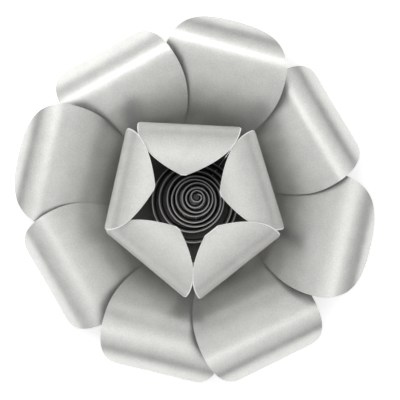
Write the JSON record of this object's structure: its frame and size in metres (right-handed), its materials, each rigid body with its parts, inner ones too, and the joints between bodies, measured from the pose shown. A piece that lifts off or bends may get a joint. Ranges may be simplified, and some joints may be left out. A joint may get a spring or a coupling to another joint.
{
  "type": "giant paper flower",
  "caption": "Large paper flower of curled card petals round a cupped ring of inner petals and a rolled strip centre, on a flat round back for fixing to a wall.",
  "frame": {"origin": "centre of the backing disc's rear face", "axes": "+Z out of the flower's face towards the viewer, +Y to the top of the flower as pictured, +X to its right"},
  "size_m": [0.3596, 0.3662, 0.0892],
  "materials": {
    "pearl_card": "pearl silver card with a satin sheen",
    "rosette_card": "charcoal reverse side of the card with pale cut edges",
    "backing_card": "plain matt card"
  },
  "bodies": {
    "root": {"outer_petal_1": "pearl_card", "outer_petal_2": "pearl_card", "outer_petal_3": "pearl_card", "outer_petal_4": "pearl_card", "outer_petal_5": "pearl_card", "outer_petal_6": "pearl_card", "outer_petal_7": "pearl_card", "outer_petal_8": "pearl_card", "inner_petal_1": "pearl_card", "inner_petal_2": "pearl_card", "inner_petal_3": "pearl_card", "inner_petal_4": "pearl_card", "inner_petal_5": "pearl_card", "rosette": "rosette_card", "back_disc": "backing_card"}
  },
  "joints": []
}
